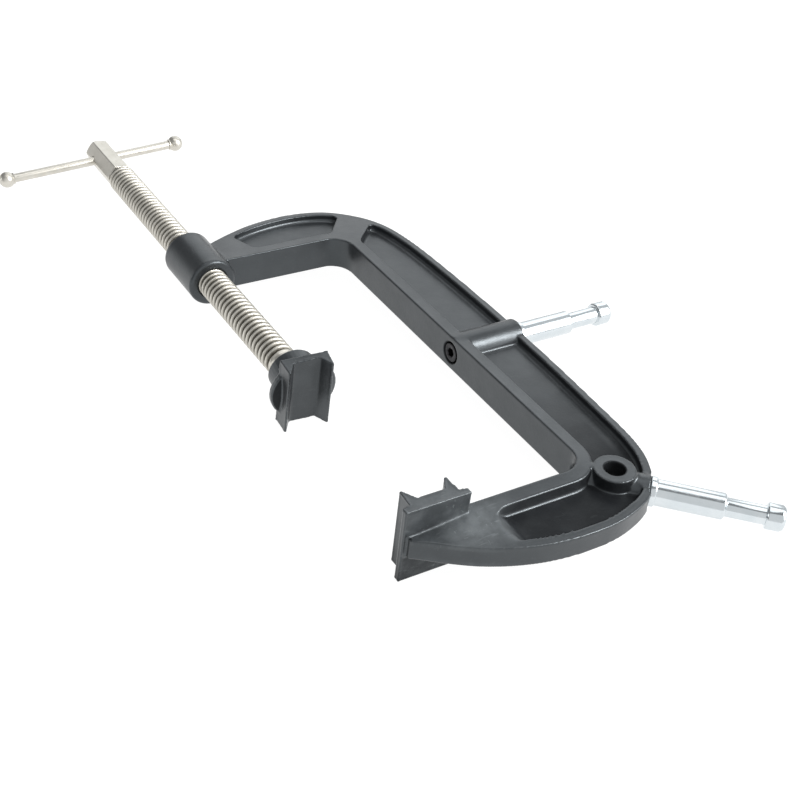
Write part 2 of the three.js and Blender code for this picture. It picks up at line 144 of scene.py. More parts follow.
def ringed(name, rings, sides=ROUND, matrix=None, sharp_degrees=32):
    """A closed piece from rings along local Z. A ring's radius is a number or a function of the angle."""
    vertices, faces = [], []
    for radius, height in rings:
        for k in range(sides):
            a = 2 * math.pi * k / sides
            r = radius(a) if callable(radius) else radius
            vertices.append((r * math.cos(a), r * math.sin(a), height))
    for i in range(len(rings) - 1):
        for k in range(sides):
            a, b = i * sides + k, i * sides + (k + 1) % sides
            faces.append((a, b, b + sides, a + sides))
    first, last = len(vertices), len(vertices) + 1
    vertices += [(0, 0, rings[0][1]), (0, 0, rings[-1][1])]
    top = (len(rings) - 1) * sides
    for k in range(sides):
        faces.append((first, (k + 1) % sides, k))
        faces.append((last, top + k, top + (k + 1) % sides))
    return new_object(name, mesh_from(name, vertices, faces, sharp_degrees), matrix)


def hexagon(across_flats):
    def radius(angle):
        sector = (angle + math.pi / 6) % (math.pi / 3) - math.pi / 6
        return across_flats / 2 / math.cos(sector)
    return radius


def bake_modifiers(ob):
    graph = bpy.context.evaluated_depsgraph_get()
    mesh = bpy.data.meshes.new_from_object(ob.evaluated_get(graph))
    ob.modifiers.clear()
    ob.data = mesh
    return mesh


# ---- cast pieces: the CAD mesh remeshed, its corners softened as a mould leaves them ----
class Softener:
    """Moves the points of a fine mesh towards the mean of their neighbours."""

    def __init__(self, mesh):
        self.mesh = mesh
        count = len(mesh.vertices)
        self.points = np.empty(count * 3)
        mesh.vertices.foreach_get("co", self.points)
        self.points = self.points.reshape(-1, 3)
        ends = np.empty(len(mesh.edges) * 2, int)
        mesh.edges.foreach_get("vertices", ends)
        self.a, self.b = ends[0::2], ends[1::2]
        self.degree = np.bincount(ends, minlength=count)

    def gather(self, per_edge_a, per_edge_b):
        count = len(self.points)
        columns = [
            np.bincount(self.a, per_edge_a[:, i], count) + np.bincount(self.b, per_edge_b[:, i], count)
            for i in range(per_edge_a.shape[1])
        ]
        return np.stack(columns, 1) / self.degree[:, None]

    def pull(self):
        return self.gather(self.points[self.b], self.points[self.a]) - self.points

    def normals(self):
        self.store()
        normals = np.empty(len(self.points) * 3)
        self.mesh.vertex_normals.foreach_get("vector", normals)
        return normals.reshape(-1, 3)

    def store(self):
        self.mesh.vertices.foreach_set("co", self.points.ravel())
        self.mesh.update()

    def smooth(self, passes, weight):
        """Only the part of the mesh with some weight is worked on, which keeps many passes cheap."""
        active = (weight[self.a] > NO_WEIGHT) | (weight[self.b] > NO_WEIGHT)
        used, ends = np.unique(np.concatenate([self.a[active], self.b[active]]), return_inverse=True)
        a, b = ends[:active.sum()], ends[active.sum():]
        points, count = self.points[used], len(used)
        share = 0.5 * weight[used] * (weight[used] > NO_WEIGHT)
        step = (share / self.degree[used])[:, None]
        for _ in range(passes):
            total = np.stack([
                np.bincount(a, points[b, i], count) + np.bincount(b, points[a, i], count)
                for i in range(3)
            ], 1)
            points += step * (total - self.degree[used][:, None] * points)
        self.points[used] = points

    def gentle(self):
        """Where the surface bends so little that its small facets can be smoothed away."""
        weight = smooth_step(CURVED_BEND, FLAT_BEND, np.abs(self.curvature()))
        for _ in range(3):
            low = weight.copy()
            np.minimum.at(low, self.a, weight[self.b])
            np.minimum.at(low, self.b, weight[self.a])
            weight = low
        return weight

    def swell(self, amount):
        """Pushes corners out a little, to make up for what the smoothing takes off them."""
        bend = np.clip(self.curvature() / SWELL_BEND, 0, 2)
        self.points += self.normals() * (bend * amount)[:, None]

    def fill_hollows(self, passes, weight):
        for i in range(passes):
            if i % NORMALS_EVERY == 0:
                normals = self.normals()
            pull = self.pull()
            hollow = np.einsum("ij,ij->i", pull, normals) > 0
            self.points += 0.5 * pull * (hollow * weight)[:, None]

    def curvature(self):
        """Mean bend at each point, positive on edges and negative in hollows, in 1/m."""
        normals = self.normals()
        along = self.points[self.a] - self.points[self.b]
        length2 = np.einsum("ij,ij->i", along, along)[:, None] + 1e-12
        at_a = np.einsum("ij,ij->i", along, normals[self.a])[:, None] / length2
        at_b = np.einsum("ij,ij->i", -along, normals[self.b])[:, None] / length2
        bend = self.gather(2 * at_a, 2 * at_b)
        for _ in range(2):
            bend = 0.5 * bend + 0.5 * self.gather(bend[self.b], bend[self.a])
        return bend[:, 0]


def store_attribute(mesh, name, values):
    attribute = mesh.attributes.new(name, "FLOAT", "POINT")
    attribute.data.foreach_set("value", np.asarray(values, np.float32))


def smooth_step(low, high, value):
    t = np.clip((value - low) / (high - low), 0, 1)
    return t * t * (3 - 2 * t)


def remeshed(ob, voxel):
    remesh = ob.modifiers.new("voxels", "REMESH")
    remesh.mode = "VOXEL"
    remesh.voxel_size = voxel
    return Softener(bake_modifiers(ob))


def thinned(ob, share):
    thin = ob.modifiers.new("thin", "DECIMATE")
    thin.ratio = share
    return bake_modifiers(ob)


def cast_piece(name, node, voxel, keep_faces, passes, hollow_passes, masks):
    """A copy of a CAD node with rounded edges and filled corners, which stands for that node.

    masks holds functions of the points: edge (how much edges round off), hollow (how much
    inner corners fill), blend (where the surface runs soft), polish (where small facets are
    smoothed away), and for the paint rub (handling marks) and a painted-shade mask, which
    dims the paint's shine where shade falls. The shade mask is given the normals as well.
    """
    ob = new_object(name, nodes[node].data.copy())
    softener = remeshed(ob, voxel)
    edge, blend = masks["edge"](softener.points), masks["blend"](softener.points)
    softener.smooth(FIRST_PASSES, edge)
    softener.swell(CORNER_SWELL)
    softener.smooth(passes, edge)
    softener.fill_hollows(hollow_passes, masks["hollow"](softener.points))
    softener.smooth(BLEND_PASSES, blend)
    softener.smooth(POLISH_PASSES, softener.gentle() * masks["polish"](softener.points))
    softener.smooth(LAST_PASSES, edge)
    softener.store()
    mesh = thinned(ob, keep_faces)
    finished = Softener(mesh)
    bend = finished.curvature()
    store_attribute(mesh, "edge", smooth_step(*EDGE_BENDS, bend))
    store_attribute(mesh, "hollow", smooth_step(*HOLLOW_BENDS, -bend))
    store_attribute(mesh, "rub", masks["rub"](finished.points))
    # painted shade: a per-point mask that dims the paint's shine in recesses and where the clamp shades
    # itself
    store_attribute(mesh, "painted_shade", masks["painted_shade"](finished.points, finished.normals()))
    mesh.polygons.foreach_set("use_smooth", [True] * len(mesh.polygons))
    mesh.update()
    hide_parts(node)
    return ob


# ---- materials ----
class Material:
    """A Principled material with short calls for its texture nodes."""

    def __init__(self, name, **sockets):
        self.material = bpy.data.materials.new(name)
        self.material.use_nodes = True
        self.tree = self.material.node_tree
        self.shader = next(n for n in self.tree.nodes if n.type == "BSDF_PRINCIPLED")
        for socket, value in sockets.items():
            self.shader.inputs[socket.replace("_", " ")].default_value = value
        self.coordinates = self.add("ShaderNodeTexCoord").outputs["Object"]

    def add(self, kind, **settings):
        node = self.tree.nodes.new(kind)
        for key, value in settings.items():
            setattr(node, key, value)
        return node

    def link(self, source, target):
        self.tree.links.new(source, target)

    def stretched(self, scale):
        mapping = self.add("ShaderNodeMapping")
        mapping.inputs["Scale"].default_value = scale
        self.link(self.coordinates, mapping.inputs["Vector"])
        return mapping.outputs["Vector"]

    def noise(self, scale, detail=3.0, roughness=0.55, stretch=None, distortion=0.0):
        node = self.add("ShaderNodeTexNoise")
        node.inputs["Scale"].default_value = scale
        node.inputs["Detail"].default_value = detail
        node.inputs["Roughness"].default_value = roughness
        node.inputs["Distortion"].default_value = distortion
        self.link(self.stretched(stretch) if stretch else self.coordinates, node.inputs["Vector"])
        return node.outputs["Fac"]

    def attribute(self, name):
        return self.add("ShaderNodeAttribute", attribute_name=name).outputs["Fac"]

    def mapped(self, source, low, high, to_low, to_high):
        node = self.add("ShaderNodeMapRange", interpolation_type="SMOOTHSTEP")
        values = {"From Min": low, "From Max": high, "To Min": to_low, "To Max": to_high}
        for socket, value in values.items():
            node.inputs[socket].default_value = value
        self.link(source, node.inputs["Value"])
        return node.outputs["Result"]

    def math(self, operation, a, b):
        node = self.add("ShaderNodeMath", operation=operation)
        for socket, value in zip(node.inputs, (a, b)):
            if isinstance(value, (int, float)):
                socket.default_value = value
            else:
                self.link(value, socket)
        return node.outputs["Value"]

    def ramp(self, source, stops):
        node = self.add("ShaderNodeValToRGB")
        elements = node.color_ramp.elements
        while len(elements) < len(stops):
            elements.new(0.5)
        for element, (position, colour) in zip(elements, stops):
            element.position = position
            element.color = (*colour, 1)
        self.link(source, node.inputs["Fac"])
        return node.outputs["Color"]

    def mixed(self, factor, a, b):
        node = self.add("ShaderNodeMix", data_type="RGBA")
        self.link(factor, node.inputs["Factor"])
        for socket, value in ((node.inputs["A"], a), (node.inputs["B"], b)):
            if isinstance(value, tuple):
                socket.default_value = (*value, 1)
            else:
                self.link(value, socket)
        return node.outputs["Result"]

    def set(self, socket, source):
        self.link(source, self.shader.inputs[socket])

    def bumps(self, *layers):
        """Each layer is (height source, strength, depth in metres)."""
        normal = None
        for source, strength, depth in layers:
            node = self.add("ShaderNodeBump")
            node.inputs["Strength"].default_value = strength
            node.inputs["Distance"].default_value = depth
            self.link(source, node.inputs["Height"])
            if normal is not None:
                self.link(normal, node.inputs["Normal"])
            normal = node.outputs["Normal"]
        self.set("Normal", normal)


def powder_coat():
    m = Material("black_powder_coat", IOR=1.68, Specular_Tint=(0.87, 0.95, 1.0, 1))
    clouds = m.noise(38, 4)
    grain = m.noise(1500, 2, 0.6)
    pebble = m.noise(520, 3)
    waves = m.noise(75, 2)
    base = m.ramp(clouds, [(0.3, (0.0065, 0.0070, 0.0080)), (0.7, (0.0095, 0.0105, 0.0120))])
    specks = m.mapped(m.noise(2600, 1), 0.66, 0.76, 0, 0.3)
    base = m.mixed(specks, base, (0.045, 0.048, 0.052))
    worn = m.math("MULTIPLY", m.attribute("edge"), m.mapped(m.noise(160, 5, 0.65), 0.46, 0.7, 0.0, 0.6))
    base = m.mixed(worn, base, (0.065, 0.066, 0.067))
    dust = m.math("MULTIPLY", m.attribute("hollow"), m.mapped(m.noise(220, 4), 0.5, 0.75, 0, 0.2))
    base = m.mixed(dust, base, (0.04, 0.039, 0.037))
    haze = m.mapped(m.noise(70, 5, 0.6), 0.36, 0.7, 0.25, 0.75)
    scratches = m.mapped(m.noise(1, 3, 0.55, stretch=(95, 720, 300), distortion=0.3), 0.6, 0.68, 0, 0.9)
    nicks = m.mapped(m.noise(1, 2, 0.5, stretch=(520, 170, 400), distortion=0.5), 0.66, 0.72, 0, 1)
    marks = m.math("MAXIMUM", haze, m.math("MAXIMUM", scratches, nicks))
    rubbed = m.math("MULTIPLY", m.attribute("rub"), marks)
    base = m.mixed(rubbed, base, (0.12, 0.131, 0.136))
    m.set("Base Color", base)
    rough = m.mapped(m.noise(60, 4), 0.3, 0.7, 0.28, 0.37)
    rough = m.math("ADD", rough, m.math("MULTIPLY", rubbed, 0.1))
    m.set("Roughness", rough)
    # painted shade: the shade attribute lowers the shine from 0.5 to 0.05 where the paint should sit in
    # shade
    m.set("Specular IOR Level", m.mapped(m.attribute("painted_shade"), 0, 1, 0.5, 0.05))
    m.bumps((waves, 0.3, 0.0006), (pebble, 0.22, 0.00025), (grain, 0.2, 0.0001))
    return m.material


def nickel(name, thread=False):
    m = Material(name, Metallic=1.0)
    tone = m.ramp(m.noise(110, 4), [(0.3, (0.57, 0.548, 0.492)), (0.7, (0.66, 0.637, 0.582))])
    stains = m.mapped(m.noise(260, 5, 0.65), 0.58, 0.74, 0, 0.4)
    tone = m.mixed(stains, tone, (0.42, 0.39, 0.33))
    if thread:
        tone = m.mixed(m.attribute("root"), tone, (0.075, 0.068, 0.052))
    m.set("Base Color", tone)
    rough = m.mapped(m.noise(140, 3), 0.3, 0.7, 0.31, 0.41)
    if thread:
        rough = m.math("ADD", rough, m.math("MULTIPLY", m.attribute("root"), 0.3))
    m.set("Roughness", rough)
    lines = m.noise(1, 2, 0.5, stretch=(60, 60, 1400))
    m.bumps((lines, 0.015, 0.00006), (m.noise(400, 2), 0.02, 0.00006))
    return m.material


def zinc():
    m = Material("bright_zinc", Metallic=1.0)
    tone = m.ramp(m.noise(90, 4), [(0.3, (0.60, 0.65, 0.675)), (0.7, (0.67, 0.71, 0.73))])
    marks = m.mapped(m.noise(420, 4, 0.7), 0.66, 0.78, 0, 0.35)
    tone = m.mixed(marks, tone, (0.5, 0.53, 0.55))
    m.set("Base Color", tone)
    m.set("Roughness", m.mapped(m.noise(130, 3), 0.3, 0.7, 0.1, 0.18))
    lines = m.noise(1, 2, 0.5, stretch=(40, 40, 1600))
    m.bumps((lines, 0.04, 0.00006), (m.noise(260, 2), 0.05, 0.0002))
    return m.material


def black_oxide():
    m = Material("black_oxide_steel", Metallic=0.9)
    tone = m.ramp(m.noise(400, 4), [(0.3, (0.018, 0.018, 0.02)), (0.7, (0.04, 0.04, 0.044))])
    tone = m.mixed(m.mapped(m.noise(1300, 3), 0.6, 0.75, 0, 0.6), tone, (0.16, 0.155, 0.15))
    m.set("Base Color", tone)
    m.set("Roughness", m.mapped(m.noise(700, 3), 0.3, 0.7, 0.3, 0.45))
    m.bumps((m.noise(2200, 3), 0.15, 0.00006))
    return m.material


PAINT = powder_coat()
NICKEL = nickel("warm_nickel")
NICKEL_THREAD = nickel("warm_nickel_thread", thread=True)
ZINC = zinc()
BLACK_OXIDE = black_oxide()


def finish_piece(ob, material, body):
    ob.data.materials.clear()
    ob.data.materials.append(material)
    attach(ob, body)


# ---- frame casting ----
def screw_distance(points):
    """Distance from the screw's axis, which is the scene's Y axis."""
    return np.hypot(points[:, 0], points[:, 2])


EYE_MOUNT_OFFSET = Vector((6.8, 6.8, 10.7)) * MM     # from the eye's centre to its mount's point
EYE = Vector(mounts["eye_face_top"]["pos_m"]) - EYE_MOUNT_OFFSET
MID_Y = mounts["mid_stud_end"]["pos_m"][1]
THROAT_X = 106 * MM
BORE_GUARD_X = THROAT_X + 15 * MM    # the masks spare the bolt's counterbore up to here
JAW_MASK_X = 23 * MM             # the fixed jaw's masks reach this far to either side
BOSS_FRONT_Y = 277 * MM


def frame_hollow_weight(points):
    """Full in the casting's corners, none in its bores and on the gripping faces."""
    x, y, z = points.T
    from_screw = screw_distance(points)
    bore = smooth_step(12 * MM, 15 * MM, from_screw) + (y < BOSS_FRONT_Y - 5 * MM)
    from_eye = np.hypot(x - EYE.x, y - EYE.y)
    from_bolt = np.hypot(y - MID_Y, z) + 1 * (x > BORE_GUARD_X)
    grip = smooth_step(-6 * MM, -9 * MM, y) + (np.abs(x) > JAW_MASK_X)
    weight = np.clip(bore, 0, 1) * smooth_step(7 * MM, 9 * MM, from_eye)
    return weight * smooth_step(7.6 * MM, 9 * MM, from_bolt) * np.clip(grip, 0, 1)


def frame_edge_weight(points):
    """Edges are crisper on the fixed jaw than on the rest of the casting."""
    x, y, _ = points.T
    jaw = (np.abs(x) < JAW_MASK_X) * smooth_step(-11 * MM, -8.5 * MM, y) * (y < 20 * MM)
    return 1 - 0.86 * jaw


def frame_blend(points):
    """The lower pocket runs out softly towards the jaw."""
    x, y, z = points.T
    near = np.exp(-((x - 37 * MM) / (8 * MM)) ** 2) * smooth_step(-14 * MM, -19 * MM, y)
    return near * smooth_step(1.5 * MM, 2.5 * MM, np.abs(z)) * smooth_step(-38 * MM, -32 * MM, y)


def frame_polish(points):
    """Everywhere but in the bores and on the jaw."""
    x, y, z = points.T
    from_screw = screw_distance(points)
    screw_bore = smooth_step(12 * MM, 14 * MM, from_screw) + (y < 200 * MM)
    eye = smooth_step(8 * MM, 9 * MM, np.hypot(x - EYE.x, y - EYE.y))
    bolt = smooth_step(9 * MM, 10 * MM, np.hypot(y - MID_Y, z)) + (x > BORE_GUARD_X)
    jaw = (np.abs(x) < JAW_MASK_X) * (y > -11 * MM) * (y < 20 * MM)
    return np.clip(screw_bore, 0, 1) * eye * np.clip(bolt, 0, 1) * (1 - jaw)


def frame_painted_shade(points, normals):
    """Painted shade: lowers the paint's shine where the plain paint comes out too light, by the eye, by
    the bolt, on the pocket floors and on the fixed jaw's low wings: a fitted mask, not real wear.
    """
    x, y, z = points.T
    eye = smooth_step(7.6 * MM, 6.8 * MM, np.hypot(x - EYE.x, y - EYE.y))
    bolt = smooth_step(8.6 * MM, 7.8 * MM, np.hypot(y - MID_Y, z)) * (x < THROAT_X + 12 * MM)
    level = 2.4 * MM + 0.3 * np.maximum(0, 46 * MM - x) * (y < 0)
    floor = smooth_step(2.6 * MM, 0, np.abs(z) - level) * smooth_step(30 * MM, 42 * MM, x)
    floor = floor * smooth_step(0.7, 0.9, np.abs(normals[:, 2]))
    depth = 0.1 + 0.5 * smooth_step(150 * MM, 30 * MM, y) + 0.38 * smooth_step(25 * MM, -5 * MM, y)
    wing = 0.75 * smooth_step(-6 * MM, -9 * MM, z) * smooth_step(25 * MM, 20 * MM, x) * (y < 20 * MM)
    return np.clip(eye + bolt + depth * floor + wing, 0, 1)


def frame_rub(points):
    """Handling marks: strongest on the lower arm's tip, faint on the jaw and along the rails."""
    x, y, z = points.T
    tip = np.exp(-(((x - 20 * MM) / (22 * MM)) ** 2 + ((y + 17 * MM) / (15 * MM)) ** 2))
    flat = smooth_step(3 * MM, 5 * MM, np.abs(z))
    jaw = 0.3 * (y > -9 * MM) * (np.abs(x) < 22 * MM) * (y < 20 * MM)
    return np.clip(tip * flat + jaw + 0.08, 0, 1)


frame_masks = {
    "edge": frame_edge_weight, "hollow": frame_hollow_weight, "blend": frame_blend,
    "rub": frame_rub, "painted_shade": frame_painted_shade, "polish": frame_polish,
}
frame_casting = cast_piece("frame_casting", "c_frame", CAST_VOXEL, 0.26, 6, 7, frame_masks)
finish_piece(frame_casting, PAINT, "frame")


def evenly(value):
    """A mask that is the same everywhere."""
    return lambda points: np.full(len(points), value)


def jaw_hollow_weight(points):
    """Only the hub's outside fills in; the gripping V and the socket stay as they are."""
    low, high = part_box("moving_jaw")
    from_screw = screw_distance(points)
    behind = smooth_step(low.y + 12 * MM, low.y + 15 * MM, points[:, 1])
    return behind * smooth_step(12.6 * MM, 13.6 * MM, from_screw)


def jaw_painted_shade(points, normals):
    """Painted shade: lowers the shine on the flange by the left horn and in the channel, fitted like the
    frame's shade mask.
    """
    side = smooth_step(-14.5 * MM, -16 * MM, points[:, 0]) * smooth_step(-0.75, -0.9, normals[:, 1])
    channel = 0.3 * smooth_step(12 * MM, 9 * MM, np.abs(points[:, 0]))
    return (side + channel) * smooth_step(152 * MM, 148 * MM, points[:, 1])


jaw_masks = {
    "edge": evenly(1.0), "hollow": jaw_hollow_weight, "blend": evenly(0.0),
    "rub": evenly(0.14), "painted_shade": jaw_painted_shade, "polish": evenly(0.0),
}
jaw_casting = cast_piece("jaw_casting", "moving_jaw", JAW_VOXEL, 0.45, 14, 24, jaw_masks)
finish_piece(jaw_casting, PAINT, "moving_jaw")


# ---- screw ----
SCREW_LOW, SCREW_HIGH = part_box("lead_screw")
HEAD_START_Y = SCREW_HIGH.y - HEAD_LENGTH
THREAD_START_Y = 167.4 * MM
CREST_SHARE = 0.24               # shares of one pitch
FLANK_SHARE = 0.19


def thread_profile(share):
    """Depth below the crest, from 0 to 1, at a share of one pitch, with rounded corners."""
    from_crest = abs((share + 0.5) % 1 - 0.5)
    half_crest = CREST_SHARE / 2
    t = min(max((from_crest - half_crest) / FLANK_SHARE, 0), 1)
    return t * t * (3 - 2 * t) * 0.4 + t * 0.6


def screw_thread():
    """The helix as one skin: rows follow the thread, so that its flanks stay clean."""
    sides, samples = ((56, 14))
    turns = (HEAD_START_Y - THREAD_START_Y) / PITCH
    rows = int(samples * (turns + 1))
    neck_r = 6.6 * MM
    collar_r = THREAD_R - 1.5 * MM
    collar_end = THREAD_START_Y + 3 * MM
    run_in = 3.5 * MM
    run_out = 2.5 * MM
    vertices, roots, faces = [], [], []
    for m in range(rows + 1):
        for k in range(sides):
            share = m / samples - 1 + k / sides
            y = min(max(THREAD_START_Y + share * PITCH, THREAD_START_Y), HEAD_START_Y)
            depth = thread_profile(share)
            outer = THREAD_R - depth * THREAD_DEPTH
            entry = smooth_step(0, run_in, y - collar_end)
            leave = smooth_step(0, run_out, HEAD_START_Y - y)
            collar = neck_r + (collar_r - neck_r) * smooth_step(0, 0.8 * MM, y - THREAD_START_Y)
            radius = collar + (outer - collar) * entry
            depth = depth * entry
            radius = radius * leave + collar_r * (1 - leave)
            angle = 2 * math.pi * k / sides
            vertices.append((radius * math.cos(angle), radius * math.sin(angle), y))
            roots.append(depth)
    for m in range(rows):
        for k in range(sides):
            a, b = m * sides + k, m * sides + (k + 1) % sides
            if k == sides - 1:       # the seam joins one row to the next turn's row
                if m + samples + 1 > rows:
                    continue
                b, b_up = (m + samples) * sides, (m + samples + 1) * sides
            else:
                b_up = b + sides
            faces.append((a, b, b_up, a + sides))
    return vertices, roots, faces


def build_screw_thread():
    vertices, roots, faces = screw_thread()
    mesh = bpy.data.meshes.new("screw_thread")
    # the piece's X, Y and Z are the scene's Z, X and Y
    mesh.from_pydata(vertices, [], faces)
    store_attribute(mesh, "root", [min(max(0, r - 0.16) / 0.6, 1) for r in roots])
    bm = bmesh.new()
    bm.from_mesh(mesh)
    bmesh.ops.remove_doubles(bm, verts=bm.verts, dist=1e-7)
    bmesh.ops.dissolve_degenerate(bm, dist=1e-7, edges=bm.edges)
    bmesh.ops.recalc_face_normals(bm, faces=bm.faces)
    bm.to_mesh(mesh)
    bm.free()
    shade(mesh, 180)
    return new_object("screw_thread", mesh, axis_matrix((0, 0, 0), (0, 1, 0)))


def build_screw_head():
    """The hexagonal head, cut from the CAD screw and remeshed so that its edges catch the light."""
    mesh = nodes["lead_screw"].data.copy()
    bm = bmesh.new()
    bm.from_mesh(mesh)
    bmesh.ops.remove_doubles(bm, verts=bm.verts, dist=1e-6)
    geometry = bm.verts[:] + bm.edges[:] + bm.faces[:]
    cut = Vector((0, HEAD_START_Y + 0.2 * MM, 0))
    bmesh.ops.bisect_plane(bm, geom=geometry, plane_co=cut, plane_no=(0, -1, 0), clear_outer=True)
    rim = [e for e in bm.edges if e.is_boundary]
    bmesh.ops.holes_fill(bm, edges=rim)
    bm.to_mesh(mesh)
    bm.free()
    ob = new_object("screw_head", mesh)
    softener = remeshed(ob, HEAD_VOXEL)
    softener.smooth(4, np.ones(len(softener.points)))
    softener.store()
    mesh = thinned(ob, 0.4)
    to_local = axis_matrix((0, 0, 0), (0, 1, 0))
    mesh.transform(to_local.inverted())
    ob.matrix_world = to_local
    shade(mesh, 180)
    return ob


def build_screw_nose():
    """The end that the jaw swivels on: nose, ring groove and neck."""
    low = SCREW_LOW.y
    profile = [
        (0, low, 0), (3 * MM, low, 1 * MM), (7.4 * MM, low + 2.6 * MM, 1.5 * MM),
        (7.4 * MM, low + 4.4 * MM, 0.3 * MM), (5.4 * MM, low + 4.4 * MM, 0.3 * MM),
        (5.4 * MM, low + 6 * MM, 0.3 * MM), (6.6 * MM, low + 6 * MM, 0.3 * MM),
        (6.6 * MM, THREAD_START_Y + 0.4 * MM, 0),
    ]
    return ringed("screw_nose", filleted(profile), 64, axis_matrix((0, 0, 0), (0, 1, 0)))


screw_pieces = [build_screw_thread(), build_screw_head(), build_screw_nose()]
for piece in screw_pieces:
    threaded = piece.name == "screw_thread"
    finish_piece(piece, NICKEL_THREAD if threaded else NICKEL, "screw")
    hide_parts("lead_screw")


# ---- T-bar ----
def box_centre(node):
    low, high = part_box(node)
    return (low + high) / 2


left_ball, right_ball = box_centre("t_bar_ball_left"), box_centre("t_bar_ball_right")
bar_direction = (right_ball - left_ball).normalized()
bar_middle = (left_ball + right_ball) / 2
bar_half = (right_ball - left_ball).length / 2
BALL_R = 6 * MM

bar_profile = [
    (0, -bar_half, 0), (BAR_R, -bar_half, 0.5 * MM), (BAR_R, bar_half, 0.5 * MM), (0, bar_half, 0),
]
bar_rings = filleted(bar_profile)
t_bar_rod = ringed("t_bar_rod", bar_rings, 48, axis_matrix(bar_middle, bar_direction))
finish_piece(t_bar_rod, NICKEL, "t_bar")
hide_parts("t_bar")


def build_ball(name, centre, outward):
    """A turned ball with a flat turning pip outside and a short collar where the bar is pressed in."""
    rings = [(BAR_R + 0.05 * MM, -BALL_R * 0.93), (BAR_R + 0.75 * MM, -BALL_R * 0.93)]
    rings += [(BAR_R + 0.95 * MM, -BALL_R * 0.88), (BAR_R + 0.85 * MM, -BALL_R * 0.8)]
    start = math.acos(0.74)
    steps = 26
    for i in range(steps):
        polar = math.pi - start - (math.pi - start - 0.16) * i / (steps - 1)
        rings.append((BALL_R * math.sin(polar), BALL_R * math.cos(polar)))
    rings.append((0.3 * MM, BALL_R * 0.985))
    return ringed(name, rings, 56, axis_matrix(centre, outward))


for side, centre in ((-1, left_ball), (1, right_ball)):
    word = "left" if side < 0 else "right"
    ball = build_ball(f"t_bar_end_{word}", centre, bar_direction * side)
    finish_piece(ball, NICKEL, "t_bar")
    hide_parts(f"t_bar_ball_{word}")


# ---- mounting studs, measured back from their free ends ----
STUD_LENGTH = 78.2 * MM
NECK_R = 5.8 * MM


def build_stud(name, mount, extra_profile):
    end = Vector(mount["pos_m"])
    axis = Vector(mount["axis"])
    origin = end - axis * STUD_LENGTH
    r, collar = STUD_R, STUD_R + 1 * MM
    outer = [
        (collar - 0.5 * MM, 0, 0.3 * MM), (collar, 0.5 * MM, 0.4 * MM),
        (collar, 3.4 * MM, 0.4 * MM), (collar - 0.6 * MM, 4 * MM, 0.3 * MM),
        (r, 4 * MM, 0.25 * MM), (r, 42.9 * MM, 0.5 * MM), (r - 1.2 * MM, 44.1 * MM, 0.3 * MM),
        (NECK_R, 44.1 * MM, 0.5 * MM), (NECK_R, 67 * MM, 0.5 * MM),
        (r - 0.8 * MM, 67 * MM, 0.3 * MM), (r, 67.8 * MM, 0.3 * MM),
        (r, 75.8 * MM, 0.4 * MM), (r - 0.9 * MM, 77.4 * MM, 0.6 * MM),
        (r - 2.6 * MM, STUD_LENGTH, 0.5 * MM), (1.6 * MM, STUD_LENGTH, 0.2 * MM),
        (1.2 * MM, STUD_LENGTH - 0.8 * MM, 0.2 * MM), (0, STUD_LENGTH - 1.3 * MM, 0),
    ]
    return ringed(name, filleted(extra_profile + outer), ROUND, axis_matrix(origin, axis))


SHANK = [
    (0, -13.5 * MM, 0), (4.3 * MM, -13.5 * MM, 0.3 * MM), (5 * MM, -12.8 * MM, 0.3 * MM),
    (5 * MM, -1.2 * MM, 0), (4.6 * MM, -0.9 * MM, 0.2 * MM), (4.6 * MM, 0, 0),
]
for name, node, mount, extra in (
    ("mid_stud_turned", "mid_stud", "mid_stud_end", [(0, 0, 0)]),
    ("corner_stud_turned", "corner_stud", "corner_stud_end", SHANK),
):
    stud = build_stud(name, mounts[mount], extra)
    finish_piece(stud, ZINC, "frame")
    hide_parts(node)


# ---- screws seen in the casting's recesses ----
def knurled(radius, depth, teeth):
    return lambda angle: radius - depth * (0.5 + 0.5 * math.cos(teeth * angle))


def build_cap_screw():
    """M8 socket-head cap screw with a knurled head; local Z runs from its head to its end."""
    low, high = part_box("mid_stud_bolt")
    head_r, height, key = 6.5 * MM, 8 * MM, hexagon(6 * MM)
    knurl = knurled(head_r, 0.22 * MM, 36)
    rings = [
        (0.4 * MM, 4.3 * MM), (key, 4 * MM), (key, 0.35 * MM), (3.9 * MM, 0), (head_r - 0.7 * MM, 0),
        (head_r - 0.25 * MM, 0.25 * MM), (head_r - 0.1 * MM, 0.7 * MM), (knurl, 1.1 * MM),
        (knurl, height - 0.8 * MM), (head_r - 0.1 * MM, height - 0.5 * MM),
        (head_r - 0.4 * MM, height), (4 * MM, height), (4 * MM, high.x - low.x - 0.6 * MM),
        (3.4 * MM, high.x - low.x),
    ]
    matrix = axis_matrix((low.x, MID_Y, 0), (1, 0, 0))
    return ringed("mid_stud_cap_screw", rings, 144, matrix, sharp_degrees=28)


def build_set_screw():
    mount = mounts["corner_stud_end"]
    axis = Vector(mount["axis"])
    low, high = -20 * MM, -7.1 * MM
    key = hexagon(4 * MM)
    rings = [
        (0.3 * MM, low + 4.2 * MM), (key, low + 4 * MM), (key, low + 0.3 * MM),
        (2.6 * MM, low), (3.4 * MM, low), (4 * MM, low + 0.6 * MM),
        (4 * MM, high - 0.6 * MM), (3.4 * MM, high),
    ]
    return ringed("eye_socket_screw", rings, 96, axis_matrix(EYE, axis), sharp_degrees=28)


for piece, node in ((build_cap_screw(), "mid_stud_bolt"), (build_set_screw(), "eye_set_screw")):
    finish_piece(piece, BLACK_OXIDE, "frame")
    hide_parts(node)

# The small hidden rings stay as the CAD made them.
for node, material in (
    ("mid_stud_lock_washer", BLACK_OXIDE), ("jaw_retaining_ring", BLACK_OXIDE),
    ("jaw_thrust_washer", NICKEL),
):
    nodes[node].data.materials.clear()
    nodes[node].data.materials.append(material)


